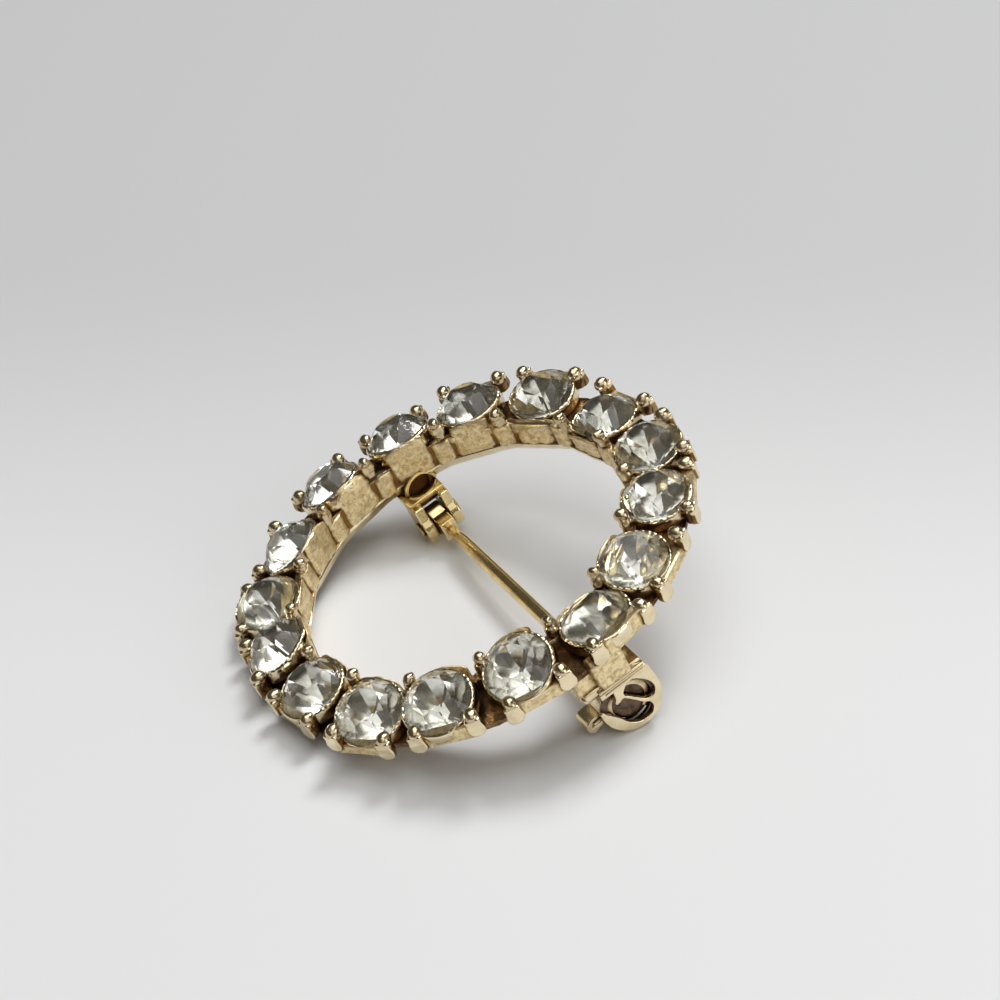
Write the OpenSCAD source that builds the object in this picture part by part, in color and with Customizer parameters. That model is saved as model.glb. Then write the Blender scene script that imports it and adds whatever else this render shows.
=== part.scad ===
// Circle brooch: a cast ring of sixteen claw-set round stones, with a pin hinge
// and a locking catch soldered to its back. All lengths are in millimetres.
// The brooch is drawn flat, stones up, and then laid as it rests: on its catch,
// its hinge ears and the back edge of the side away from the pin.

/* [Circle of settings] */
// Radius of the circle through the middles of the stones
circle_r = 14.8; // [14.7:0.05:15.0]
// Distance from the ring's axis to the flat faces of the inner wall
inner_face_r = 12.35; // [12.2:0.05:12.4]
// Thickness of the inner wall
inner_wall_t = 0.85; // [0.75:0.05:0.9]
// Height of the inner wall's top over the middle plane
inner_top_z = -0.2; // [-0.3:0.05:-0.1]
// Height of the back edge over the middle plane
back_z = -3.2; // [-3.3:0.05:-3.1]
// Direction of the first setting, anticlockwise from +X seen from the front
first_angle = 56.6; // [56:0.1:57]

/* [Stones] */
// Radius of a stone at its girdle
stone_r = 2.35; // [2.3:0.01:2.38]
// Height of the crown over the girdle
crown_h = 1.05; // [0.9:0.05:1.2]
// Radius of the table
table_r = 1.3; // [1.2:0.05:1.5]
// Height of the girdle's plain band
girdle_h = 0.2; // [0.15:0.05:0.25]
// Depth of the pointed back under the girdle
pavilion_h = 1.8; // [1.6:0.05:1.9]
// Clearance between a stone and the metal under it
seat_gap = 0.05; // [0.04:0.01:0.08]

/* [Cups and claws] */
// Outer radius of a cup
cup_r = 2.64; // [2.6:0.01:2.66]
// Inner radius of a cup's rim
rim_r = 2.46; // [2.44:0.01:2.48]
// Height of a cup's rim over the girdle
rim_h = 0.12; // [0.05:0.01:0.15]
// Depth of a cup's straight wall under the girdle
cup_depth = 1.15; // [1.0:0.05:1.2]
// Radius of the foot under a cup
foot_r = 0.62; // [0.55:0.01:0.7]
// Radius of the ball on an outer claw
claw_r = 0.5; // [0.46:0.01:0.52]
// Distance of an outer claw from its stone's middle, outward
claw_out = 2.07; // [2.05:0.01:2.15]
// Distance of an outer claw from its stone's middle, sideways
claw_side = 2.12; // [2.1:0.01:2.15]
// Height of an outer claw's ball over the middle plane
claw_z = -0.15; // [-0.2:0.05:-0.1]
// Radius of the ball on an inner claw
inner_claw_r = 0.43; // [0.4:0.01:0.45]
// Height of an inner claw's ball over the middle plane
inner_claw_z = 0.65; // [0.6:0.05:0.7]
// Height of the flat shield on the outside of an outer claw
shield_h = 1.45; // [1.4:0.05:1.5]

/* [Pin and hinge] */
// Distance of the pin's line from the ring's axis
pin_x = 1.8; // [1.75:0.05:1.85]
// Height of the pin's axis over the middle plane
pin_z = -5.5; // [-5.55:0.05:-5.45]
// Radius of the pin's stem
stem_r = 0.52; // [0.45:0.01:0.55]
// Distance from the ring's axis to the hinge rivet, along the pin
rivet_y = 10.9; // [10.8:0.1:11]
// Radius of the rivet
rivet_r = 0.42; // [0.38:0.01:0.45]
// Radius of the round end of a hinge ear
ear_r = 1.35; // [1.3:0.05:1.4]
// Thickness of a hinge ear
ear_t = 0.6; // [0.5:0.05:0.65]
// Width of the hinge over both ears
hinge_w = 3.1; // [3.0:0.1:3.2]

/* [Catch] */
// Height of the catch's axis over the middle plane
catch_z = -6.2; // [-6.25:0.05:-6.15]
// Outer radius of the catch's round housing
housing_r = 2.2; // [2.15:0.05:2.25]
// Wall thickness of the housing
housing_t = 0.45; // [0.4:0.05:0.5]
// Distance from the ring's axis to the catch's outer end
catch_end_y = 16.8; // [16.7:0.1:16.9]
// Length of the catch
catch_len = 3.5; // [3.4:0.1:3.6]
// Clearance between the barrel and the housing
barrel_gap = 0.07; // [0.05:0.01:0.09]
// Wall thickness of the barrel
barrel_t = 0.42; // [0.36:0.02:0.46]
// Reach of the thumb tab from the barrel's axis
tab_reach = 3.35; // [3.2:0.05:3.5]

/* [Rest] */
// Angle by which the side away from the pin lies low
lean_side = 16.7; // [16.6:0.05:16.8]
// Angle by which the catch's end lies high
lean_end = 2.5; // [2.4:0.05:2.6]
// Shift along X that brings the brooch's middle over the origin
rest_x = -0.46; // [-0.6:0.01:-0.3]
// Shift along Y that brings the brooch's middle over the origin
rest_y = -0.11; // [-0.3:0.01:0.1]
// Shift along Z that brings the lowest points to the ground
rest_z = 6.93; // [6.9:0.01:7]

/* [Hidden] */
$fn = 64;
eps = 0.02;
stone_n = 16;
pitch = 360 / stone_n;
catch_plate_t = 0.55;
catch_plate_z = back_z - catch_plate_t;
hinge_plate_t = 0.4;
hinge_plate_z = back_z - hinge_plate_t;
cup_wall_z = -cup_depth;
foot_z = -2.4;
culet_r = 0.13;
claw_post_r = claw_r - 0.04;
web_in = inner_face_r + 0.4;

// Each cup was placed by hand: its turn along the circle in degrees, how far it
// stands out and lies deep in millimetres, and how far it tips out and sideways.
TURN = 0;
OUT = 1;
DEEP = 2;
TIP = 3;
CANT = 4;
SEATS = [
    [-0.3, 0.5, -0.1, 7, 2], [-0.4, 0.6, 0.1, -3, -4], [0.2, 0.0, 0.7, 4, 4],
    [1.7, 0.2, 0.2, 1, -4], [0.0, -0.2, 0.2, 6, -2], [2.0, -0.4, 0.0, 12, -2],
    [-0.1, -0.2, 0.1, -1, 2], [1.7, -0.2, -0.4, 18, -8], [1.8, 0.1, -0.3, 13, 1],
    [-0.7, 0.2, 0.0, 13, 7], [0.2, -0.3, 0.0, 8, -1], [0.5, -0.3, -0.2, 15, -6],
    [-1.5, 0.1, 0.1, -1, 3], [-2.7, -0.2, 0.0, 23, 3], [-1.7, 0.3, -0.2, 20, 2],
    [0.1, 0.0, -0.4, 16, 0]
];

// The same for the outer claws of each setting: turn and stand
CLAWS = [
    [-0.5, 0.6], [-1.0, 0.5], [0.5, 0.2], [2.0, 0.2],
    [0.0, 0.0], [1.0, -0.1], [-0.5, -0.1], [1.0, -0.2],
    [0.5, 0.0], [-1.0, 0.3], [0.0, -0.3], [0.0, -0.3],
    [-1.5, 0.0], [-3.0, -0.3], [-1.0, 0.2], [0.0, 0.0]
];

// Lays what was drawn flat as the brooch rests
module at_rest() {
    translate([rest_x, rest_y, rest_z])
        rotate([-lean_end, -lean_side, 0])
            children();
}

// Puts what was drawn at the origin, outward along +X, at a place of the circle
module on_circle(k, place) {
    rotate([0, 0, first_angle - pitch * k - place[TURN]])
        translate([circle_r + place[OUT], 0, 0])
            children();
}

// Puts what was drawn about the girdle's middle at setting k, tipped as it is
module at_seat(k) {
    on_circle(k, SEATS[k])
        translate([0, 0, -SEATS[k][DEEP]])
            rotate([0, SEATS[k][TIP], 0])
                rotate([-SEATS[k][CANT], 0, 0])
                    children();
}

// Extrudes an outline drawn in X and Z along -Y, from the given place
module along_pin(y, length) {
    translate([pin_x, y, 0])
        rotate([90, 0, 0])
            linear_extrude(length)
                children();
}

// Wedge of a disc between two directions
module pie(r, a0, a1) {
    steps = 8;
    polygon(concat([[0, 0]], [for (i = [0:steps])
        let (a = a0 + (a1 - a0) * i / steps) [r * cos(a), r * sin(a)]]));
}

// Part of a round wall between two directions
module arc_wall(r_out, r_in, a0, a1) {
    intersection() {
        difference() {
            circle(r_out);
            circle(r_in);
        }
        pie(2 * r_out, a0, a1);
    }
}

// Round cup that tapers behind the stone
module cup_body() {
    translate([0, 0, cup_wall_z])
        cylinder(h = cup_depth + rim_h, r = cup_r);
    translate([0, 0, foot_z])
        cylinder(h = cup_wall_z - foot_z + eps, r1 = foot_r, r2 = cup_r);
}

// Hollow that takes the stone
module cup_hollow() {
    tip_z = -girdle_h - pavilion_h - seat_gap;
    seat_r = stone_r + seat_gap;
    translate([0, 0, -girdle_h])
        cylinder(h = girdle_h + crown_h, r = rim_r);
    translate([0, 0, tip_z])
        cylinder(h = -girdle_h - tip_z + eps, r1 = culet_r + seat_gap, r2 = seat_r);
}

// One outer claw with its ball, post and flat outer shield
module outer_claw(side) {
    lean = atan2(claw_side, circle_r + claw_out);
    post_h = shield_h - 0.3;
    shield_t = 0.75;
    belly_r = 0.75;
    belly_z = -(shield_h - belly_r);
    translate([claw_out, side * claw_side, claw_z]) {
        sphere(r = claw_r);
        translate([0, 0, -post_h])
            cylinder(h = post_h, r = claw_post_r);
        rotate([0, 0, side * lean])
            translate([claw_r - 0.05 - shield_t, 0, 0])
                rotate([90, 0, 90])
                    linear_extrude(shield_t) {
                        translate([0, belly_z])
                            circle(belly_r);
                        polygon([
                            [-claw_post_r, 0], [-belly_r, belly_z],
                            [belly_r, belly_z], [claw_post_r, 0]
                        ]);
                    }
    }
}

// Smooth band of the outer wall between the two claws of one stone
module outer_band() {
    reach = 2.55;
    band_t = 0.9;
    half_w = 1.7;
    band_h = 0.95;
    bottom_z = claw_z - shield_h + 0.2;
    translate([reach - band_t, -half_w, bottom_z])
        cube([band_t, 2 * half_w, band_h]);
}

// Flat-sided ring of the inner wall, a face behind each stone
module inner_wall() {
    outline = function (apothem) [for (i = [0:stone_n - 1])
        let (a = first_angle + pitch * (i + 0.5), r = apothem / cos(pitch / 2))
            [r * cos(a), r * sin(a)]];
    translate([0, 0, back_z])
        linear_extrude(inner_top_z - back_z)
            difference() {
                polygon(outline(inner_face_r + inner_wall_t));
                polygon(outline(inner_face_r));
            }
}

// Sunk floor between the cups, which joins them
module web() {
    rotate_extrude()
        polygon([
            [web_in, -2.3], [15.5, -2.3], [16.5, -1.85],
            [16.5, -1.5], [web_in, -1.35]
        ]);
}

// Claw that two neighbouring stones share, on the inner wall
module inner_claw() {
    claw_x = 12.9;
    root_z = -1.6;
    translate([claw_x, 0, root_z])
        cylinder(h = inner_claw_z - root_z, r = inner_claw_r - 0.02);
    translate([claw_x, 0, inner_claw_z])
        sphere(r = inner_claw_r);
}

// Groove cast into the inner wall between two faces
module wall_groove() {
    groove = 0.34;
    groove_h = 1.4;
    translate([inner_face_r / cos(pitch / 2), 0, back_z - eps])
        rotate([0, 0, 45])
            translate([-groove / 2, -groove / 2, 0])
                cube([groove, groove, groove_h]);
}

// Bevel along the back of the inner wall
module back_bevel() {
    bevel = 0.35;
    translate([0, 0, back_z - eps])
        cylinder(h = bevel, r1 = inner_face_r + bevel + 0.1, r2 = inner_face_r);
}

// Half-round pocket over the hinge plate, cast into the inner wall
module hinge_pocket() {
    pocket_r = 1.3;
    pocket_x = 0.3;
    pocket_y = 12.75;
    translate([pocket_x, 0, back_z - 0.1])
        along_pin(pocket_y, pocket_y - web_in + 1)
            circle(pocket_r);
}

// The casting, without what is soldered to it
module casting() {
    difference() {
        union() {
            inner_wall();
            web();
            for (k = [0:stone_n - 1]) {
                at_seat(k)
                    cup_body();
                on_circle(k, CLAWS[k]) {
                    outer_claw(1);
                    outer_claw(-1);
                    outer_band();
                }
                rotate([0, 0, first_angle - pitch * (k + 0.5)])
                    inner_claw();
            }
        }
        for (k = [0:stone_n - 1]) {
            at_seat(k)
                cup_hollow();
            rotate([0, 0, first_angle - pitch * (k + 0.5)])
                wall_groove();
        }
        back_bevel();
        hinge_pocket();
    }
}

// Hinge plate with two ears, soldered under the back
module hinge() {
    plate_len = 3.4;
    solder_y = 12.7;
    solder_edge = 0.3;
    ear_gap = hinge_w - 2 * ear_t;
    translate([pin_x - hinge_w / 2, rivet_y, hinge_plate_z])
        cube([hinge_w, plate_len, hinge_plate_t]);
    translate([pin_x - hinge_w / 2 + solder_edge, solder_y, hinge_plate_z + hinge_plate_t / 2])
        cube([hinge_w - 2 * solder_edge, 1.6, 1.2]);
    difference() {
        for (side = [-1, 1])
            translate([pin_x + side * (ear_gap + ear_t) / 2 - ear_t / 2, 0, 0])
                rotate([90, 0, 90])
                    linear_extrude(ear_t) {
                        translate([rivet_y, pin_z])
                            circle(ear_r);
                        polygon([
                            [rivet_y, hinge_plate_z + 0.3], [rivet_y + ear_r, hinge_plate_z + 0.3],
                            [rivet_y + ear_r, pin_z], [rivet_y - ear_r + 0.03, pin_z + 0.2]
                        ]);
                    }
        translate([pin_x - hinge_w, rivet_y, pin_z])
            rotate([0, 90, 0])
                cylinder(h = 2 * hinge_w, r = rivet_r + 0.01);
    }
}

// Catch plate with a round housing that is open to the side and below
module catch_housing() {
    inner_r = housing_r - housing_t;
    end_t = 0.4;
    plate_w = 4.5;
    plate_y = -12.4;
    inner_end_y = -catch_end_y + catch_len;
    corner_r = 0.7;
    lip_t = 0.35;
    neck_w = 3.2;
    neck_x = -1.45;
    neck_z = 1.2;
    translate([pin_x - 0.35, 0, catch_plate_z])
        linear_extrude(catch_plate_t) {
            translate([-plate_w / 2 + corner_r, -catch_end_y])
                square([plate_w - 2 * corner_r, catch_end_y + plate_y]);
            translate([-plate_w / 2, -catch_end_y + corner_r])
                square([plate_w, catch_end_y + plate_y - 2 * corner_r]);
            for (x = [-1, 1], y = [-catch_end_y + corner_r, plate_y - corner_r])
                translate([x * (plate_w / 2 - corner_r), y])
                    circle(corner_r);
        }
    translate([0, 0, catch_z]) {
        along_pin(inner_end_y, catch_len) {
            arc_wall(housing_r, inner_r, -56, 165);
            difference() {
                translate([neck_x, neck_z])
                    square([neck_w, catch_plate_z - catch_z - neck_z + eps]);
                circle(inner_r);
            }
        }
        along_pin(inner_end_y, lip_t)
            arc_wall(housing_r, inner_r - lip_t, -50, 165);
        along_pin(-catch_end_y + end_t, end_t)
            end_face(inner_r);
    }
}

// Outer end of the housing: an open ring with a slanting bar across it
module end_face(inner_r) {
    bar_w = 0.3;
    bar_shift = 0.42;
    flat_z = 1.1;
    arc_wall(housing_r, inner_r, -185, 165);
    rotate(-44)
        translate([-0.95, bar_shift - bar_w / 2])
            square([2.75, bar_w]);
    intersection() {
        circle(housing_r);
        translate([-0.75, flat_z])
            square([2.6, 2]);
    }
}

// Solder that fills the corner between the catch plate and the wall over it
module catch_solder() {
    solder_w = 1.9;
    translate([pin_x - 1.1, 0, 0])
        rotate([90, 0, 90])
            linear_extrude(solder_w)
                polygon([
                    [-17.2, -1.4], [-16.9, back_z], [-14.4, back_z],
                    [-14.4, -2.9], [-16.1, -1.4]
                ]);
}

module ring_frame() {
    color("#cdb27a")
        at_rest() {
            casting();
            hinge();
            catch_housing();
            catch_solder();
        }
}

module hinge_rivet() {
    head_r = 0.62;
    head_t = 0.2;
    color("#b99f66")
        at_rest()
            translate([pin_x, rivet_y, pin_z])
                rotate([0, 90, 0]) {
                    cylinder(h = hinge_w + 2 * head_t, r = rivet_r, center = true);
                    for (side = [-1, 1])
                        translate([0, 0, side * (hinge_w / 2 + head_t / 2 + eps / 2)])
                            cylinder(h = head_t, r = head_r, center = true);
                }
}

module pin_stem() {
    root_t = 1.0;
    root_r = 1.05;
    root_end_y = 8.7;
    neck_r = 0.36;
    stem_y = 7.7;
    taper_y = -11;
    tip_y = -16.15;
    color("#c2a25f")
        at_rest() {
            difference() {
                translate([pin_x - root_t / 2, 0, 0])
                    rotate([90, 0, 90])
                        linear_extrude(root_t) {
                            translate([rivet_y, pin_z])
                                circle(root_r);
                            polygon([
                                [rivet_y - 0.2, pin_z + root_r - 0.03], [root_end_y, pin_z + 0.5],
                                [root_end_y, pin_z - 0.5], [rivet_y - 0.2, pin_z - root_r + 0.03]
                            ]);
                        }
                translate([pin_x - root_t, rivet_y, pin_z])
                    rotate([0, 90, 0])
                        cylinder(h = 2 * root_t, r = rivet_r + 0.03);
            }
            translate([pin_x, 0, pin_z])
                rotate([90, 0, 0])
                    rotate_extrude()
                        polygon([
                            [0, -root_end_y - 0.3], [neck_r, -root_end_y - 0.3],
                            [neck_r, -stem_y], [stem_r, -stem_y + 0.25],
                            [stem_r, -taper_y], [0.36, -taper_y + 3.2],
                            [0.06, -tip_y], [0, -tip_y]
                        ]);
        }
}

module catch_barrel() {
    barrel_r = housing_r - housing_t - barrel_gap;
    barrel_in = barrel_r - barrel_t;
    barrel_len = 2.5;
    barrel_y = -catch_end_y + 0.4 + 0.12 + barrel_len;
    mouth = 34;
    tab_a = 190;
    tab_t = 1.05;
    slot_t = 0.32;
    tab_w = 1.6;
    tab_end = tab_reach - tab_t / 2;
    root_r = barrel_in + 0.1;
    slot_r = barrel_r + 0.15;
    color("#b8985a")
        at_rest()
            translate([0, 0, catch_z]) {
                along_pin(barrel_y, barrel_len)
                    arc_wall(barrel_r, barrel_in, -90 + mouth, 270 - mouth);
                along_pin(barrel_y - 0.5, tab_w)
                    rotate(tab_a)
                        difference() {
                            union() {
                                translate([root_r, -tab_t / 2])
                                    square([tab_end - root_r, tab_t]);
                                translate([tab_end, 0])
                                    circle(tab_t / 2);
                            }
                            translate([slot_r, -slot_t / 2])
                                square([tab_end - slot_r, slot_t]);
                        }
            }
}

// Round stone with a flat table and a pointed back
module stone(k) {
    color("#dfe3e0")
        at_rest()
            at_seat(k) {
                cylinder(h = crown_h, r1 = stone_r, r2 = table_r);
                translate([0, 0, -girdle_h])
                    cylinder(h = girdle_h, r = stone_r);
                translate([0, 0, -girdle_h - pavilion_h])
                    cylinder(h = pavilion_h, r1 = culet_r, r2 = stone_r);
            }
}

ring_frame();
hinge_rivet();
pin_stem();
catch_barrel();
for (k = [0:stone_n - 1])
    stone(k);
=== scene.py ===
import math

import bpy
from mathutils import Matrix, Vector
from mathutils.bvhtree import BVHTree


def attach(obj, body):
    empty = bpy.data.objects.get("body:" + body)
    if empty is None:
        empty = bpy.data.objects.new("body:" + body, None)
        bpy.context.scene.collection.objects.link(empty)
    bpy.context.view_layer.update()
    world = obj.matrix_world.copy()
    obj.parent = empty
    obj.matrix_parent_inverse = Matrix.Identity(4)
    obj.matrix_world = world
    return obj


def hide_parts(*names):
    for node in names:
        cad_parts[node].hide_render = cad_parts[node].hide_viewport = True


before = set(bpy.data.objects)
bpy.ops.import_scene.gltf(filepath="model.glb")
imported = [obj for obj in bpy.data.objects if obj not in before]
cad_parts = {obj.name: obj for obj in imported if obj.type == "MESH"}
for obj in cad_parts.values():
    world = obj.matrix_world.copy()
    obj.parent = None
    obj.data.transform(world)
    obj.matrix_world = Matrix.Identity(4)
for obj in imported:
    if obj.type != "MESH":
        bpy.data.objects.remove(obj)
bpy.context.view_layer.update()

# The camera. It looks down on the brooch as the photograph does, from the catch's side, and is
# rolled a little, as a hand-held one is. Its place, turn and lens were fitted to the outlines of
# the stones.
bpy.ops.object.select_all(action="DESELECT")
bpy.ops.object.camera_add(
    location=(-0.05469, -0.12484, 0.10525),
    rotation=(math.radians(54.793), math.radians(6.608), math.radians(-29.570)),
)
camera = bpy.context.object
camera.data.lens = 86.4
camera.data.clip_start = 0.01
camera.data.clip_end = 10
bpy.context.scene.camera = camera


# How the brooch lies. Every piece is worked flat, stones up, in millimetres, and then laid down
# as the real one rests: on its catch, one hinge ear and the low side's back edge.
LAID = (
    Matrix.Translation((-0.00046, -0.00011, 0.00693))
    @ Matrix.Rotation(math.radians(-16.7), 4, "Y")
    @ Matrix.Rotation(math.radians(-2.5), 4, "X")
    @ Matrix.Scale(0.001, 4)
)
STONES = 16
CIRCLE_R = 14.8
PITCH = 360 / STONES
FIRST_ANGLE = 56.6

# Each cup was placed one by one: its turn along the circle in degrees, how far it stands out and
# lies deep in millimetres, and how far it tips out and sideways in degrees.
SEATS = [
    (-0.3, 0.5, -0.1, 7, 2), (-0.4, 0.6, 0.1, -3, -4), (0.2, 0.0, 0.7, 4, 4),
    (1.7, 0.2, 0.2, 1, -4), (0.0, -0.2, 0.2, 6, -2), (2.0, -0.4, 0.0, 12, -2),
    (-0.1, -0.2, 0.1, -1, 2), (1.7, -0.2, -0.4, 18, -8), (1.8, 0.1, -0.3, 13, 1),
    (-0.7, 0.2, 0.0, 13, 7), (0.2, -0.3, 0.0, 8, -1), (0.5, -0.3, -0.2, 15, -6),
    (-1.5, 0.1, 0.1, -1, 3), (-2.7, -0.2, 0.0, 23, 3), (-1.7, 0.3, -0.2, 20, 2),
    (0.1, 0.0, -0.4, 16, 0),
]
# The two outer claws of each stone stand apart from its cup, with a turn and a distance of
# their own.
CLAWS = [
    (-0.5, 0.6), (-1.0, 0.5), (0.5, 0.2), (2.0, 0.2), (0.0, 0.0), (1.0, -0.1), (-0.5, -0.1),
    (1.0, -0.2), (0.5, 0.0), (-1.0, 0.3), (0.0, -0.3), (0.0, -0.3), (-1.5, 0.0), (-3.0, -0.3),
    (-1.0, 0.2), (0.0, 0.0),
]


def facing(k, turn=0):
    """Turns X to point out through seat k, or between two seats where k ends in a half."""
    return Matrix.Rotation(math.radians(FIRST_ANGLE - PITCH * k - turn), 4, "Z")


def claws_place(k):
    turn, out = CLAWS[k]
    return facing(k, turn) @ Matrix.Translation((CIRCLE_R + out, 0, 0))


def seat_place(k):
    turn, out, deep, tip, cant = SEATS[k]
    return (
        facing(k, turn)
        @ Matrix.Translation((CIRCLE_R + out, 0, -deep))
        @ Matrix.Rotation(math.radians(tip), 4, "Y")
        @ Matrix.Rotation(math.radians(-cant), 4, "X")
    )


def clear():
    if bpy.context.mode != "OBJECT":
        bpy.ops.object.mode_set(mode="OBJECT")
    bpy.ops.object.select_all(action="DESELECT")


def only(ob):
    clear()
    ob.select_set(True)
    bpy.context.view_layer.objects.active = ob


def copy_at(ob, name, place):
    twin = ob.copy()
    twin.data = ob.data.copy()
    twin.data.transform(place)
    twin.name = twin.data.name = name
    bpy.context.collection.objects.link(twin)
    return twin


def join(obs, name):
    clear()
    for ob in obs:
        ob.select_set(True)
    bpy.context.view_layer.objects.active = obs[0]
    bpy.ops.object.join()
    obs[0].name = obs[0].data.name = name
    return obs[0]


def finish(ob, name, body, slot, *nodes):
    ob.data.transform(LAID)
    ob.name = ob.data.name = name
    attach(ob, body)
    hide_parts(*nodes)


# The stones. Sixteen round machine-cut glass stones, 4.7 mm across, with an octagonal table, and
# a silvered foil fused to the pointed back. Each is cut from a round blank, one facet at a time.
def cut(around, steep, reach, height):
    tilt, turn = math.radians(steep), math.radians(around)
    out = Vector((math.cos(turn), math.sin(turn), 0))
    bpy.ops.mesh.select_all(action="SELECT")
    bpy.ops.mesh.bisect(
        plane_co=out * reach + Vector((0, 0, height)),
        plane_no=out * math.sin(tilt) + Vector((0, 0, math.cos(tilt))),
        use_fill=True,
        clear_outer=True,
    )


STONE_R = 2.35
clear()
bpy.ops.mesh.primitive_cylinder_add(vertices=64, radius=STONE_R, depth=3.1, location=(0, 0, -0.5))
stone = bpy.context.object
bpy.ops.object.transform_apply(location=True)
bpy.ops.object.mode_set(mode="EDIT")
for i in range(8):
    cut(45 * i, 43, STONE_R - 0.03, 0.0)
    cut(45 * i, 180 - 40, STONE_R - 0.02, -0.2)
for i in range(16):
    cut(22.5 * i + 11.25, 47, STONE_R - 0.02, -0.02)
    cut(22.5 * i + 11.25, 180 - 42, STONE_R, -0.2)
for i in range(8):
    cut(45 * i + 22.5, 27, 1.36, 0.93)
cut(0, 0, 0, 1.04)
cut(0, 180, 0, -2.0)
bpy.ops.mesh.select_all(action="SELECT")
bpy.ops.mesh.remove_doubles(threshold=0.002)
bpy.ops.mesh.normals_make_consistent(inside=False)
bpy.ops.object.mode_set(mode="OBJECT")

glass = bpy.data.materials.new("cut_glass")
glass.use_nodes = True
nodes, links = glass.node_tree.nodes, glass.node_tree.links
bsdf = nodes["Principled BSDF"]
bsdf.inputs["Base Color"].default_value = (0.99, 1.0, 0.98, 1)
bsdf.inputs["Roughness"].default_value = 0.02
bsdf.inputs["IOR"].default_value = 1.52
bsdf.inputs["Transmission Weight"].default_value = 1
place = nodes.new("ShaderNodeTexCoord")
scratches = nodes.new("ShaderNodeTexNoise")
scratches.inputs["Scale"].default_value = 1400
scratches.inputs["Detail"].default_value = 4
dents = nodes.new("ShaderNodeBump")
dents.inputs["Strength"].default_value = 0.12
dents.inputs["Distance"].default_value = 0.0001
links.new(place.outputs["Object"], scratches.inputs["Vector"])
links.new(scratches.outputs["Fac"], dents.inputs["Height"])
links.new(dents.outputs["Normal"], bsdf.inputs["Normal"])

foil = bpy.data.materials.new("silvered_back")
foil.use_nodes = True
nodes, links = foil.node_tree.nodes, foil.node_tree.links
bsdf = nodes["Principled BSDF"]
bsdf.inputs["Metallic"].default_value = 1
place = nodes.new("ShaderNodeTexCoord")
spots = nodes.new("ShaderNodeTexNoise")
spots.inputs["Scale"].default_value = 900
spots.inputs["Detail"].default_value = 5
ageing = nodes.new("ShaderNodeValToRGB")
ageing.color_ramp.elements[0].position = 0.35
ageing.color_ramp.elements[0].color = (0.70, 0.68, 0.60, 1)
ageing.color_ramp.elements[1].position = 0.6
ageing.color_ramp.elements[1].color = (0.99, 0.98, 0.93, 1)
dulling = nodes.new("ShaderNodeMapRange")
dulling.inputs["To Min"].default_value = 0.22
dulling.inputs["To Max"].default_value = 0.09
links.new(place.outputs["Object"], spots.inputs["Vector"])
links.new(spots.outputs["Fac"], ageing.inputs["Fac"])
links.new(ageing.outputs["Color"], bsdf.inputs["Base Color"])
links.new(spots.outputs["Fac"], dulling.inputs["Value"])
links.new(dulling.outputs["Result"], bsdf.inputs["Roughness"])

stone.data.materials.append(glass)
stone.data.materials.append(foil)
for face in stone.data.polygons:
    face.use_smooth = False
    face.material_index = 1 if face.normal.z < -0.1 else 0

STONE_TURNS = [4, 17, 31, 9, 22, 38, 12, 27, 2, 19, 35, 41, 8, 25, 15, 33]
for k in range(STONES):
    place = seat_place(k) @ Matrix.Rotation(math.radians(STONE_TURNS[k]), 4, "Z")
    name = f"cut_stone_{k + 1:02d}"
    finish(copy_at(stone, name, place), name, "brooch", "foiled_glass", f"stone_{k + 1:02d}")
bpy.data.objects.remove(stone)


# The gilding. Gold-tone plating on every metal piece: pale gold, brown in random stains and
# browner with painted shade in its recesses. The casting's grain and its stains are one group.
def build_patina():
    group = bpy.data.node_groups.new("patina", "ShaderNodeTree")
    for name, usual in (("Scale", 500.0), ("Stain", 0.5), ("Grain", 0.5)):
        socket = group.interface.new_socket(name, in_out="INPUT", socket_type="NodeSocketFloat")
        socket.default_value = usual
    group.interface.new_socket("Vector", in_out="INPUT", socket_type="NodeSocketVector")
    group.interface.new_socket("Brown", in_out="OUTPUT", socket_type="NodeSocketFloat")
    group.interface.new_socket("Height", in_out="OUTPUT", socket_type="NodeSocketFloat")
    nodes, links = group.nodes, group.links
    inp, out = nodes.new("NodeGroupInput"), nodes.new("NodeGroupOutput")
    blotch = nodes.new("ShaderNodeTexNoise")
    blotch.inputs["Detail"].default_value = 6
    blotch.inputs["Roughness"].default_value = 0.65
    blotch.inputs["Distortion"].default_value = 0.6
    level = nodes.new("ShaderNodeMapRange")
    level.inputs["From Min"].default_value = 0.42
    level.inputs["From Max"].default_value = 0.68
    amount = nodes.new("ShaderNodeMath")
    amount.operation = "MULTIPLY"
    fine = nodes.new("ShaderNodeTexNoise")
    fine.inputs["Detail"].default_value = 3
    finer = nodes.new("ShaderNodeMath")
    finer.operation = "MULTIPLY"
    finer.inputs[1].default_value = 3.1
    rough = nodes.new("ShaderNodeMath")
    rough.operation = "MULTIPLY_ADD"
    links.new(inp.outputs["Vector"], blotch.inputs["Vector"])
    links.new(inp.outputs["Scale"], blotch.inputs["Scale"])
    links.new(blotch.outputs["Fac"], level.inputs["Value"])
    links.new(level.outputs["Result"], amount.inputs[0])
    links.new(inp.outputs["Stain"], amount.inputs[1])
    links.new(amount.outputs["Value"], out.inputs["Brown"])
    links.new(inp.outputs["Scale"], finer.inputs[0])
    links.new(inp.outputs["Vector"], fine.inputs["Vector"])
    links.new(finer.outputs["Value"], fine.inputs["Scale"])
    links.new(fine.outputs["Fac"], rough.inputs[0])
    links.new(inp.outputs["Grain"], rough.inputs[1])
    links.new(blotch.outputs["Fac"], rough.inputs[2])
    links.new(rough.outputs["Value"], out.inputs["Height"])
    return group


patina = build_patina()


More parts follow.
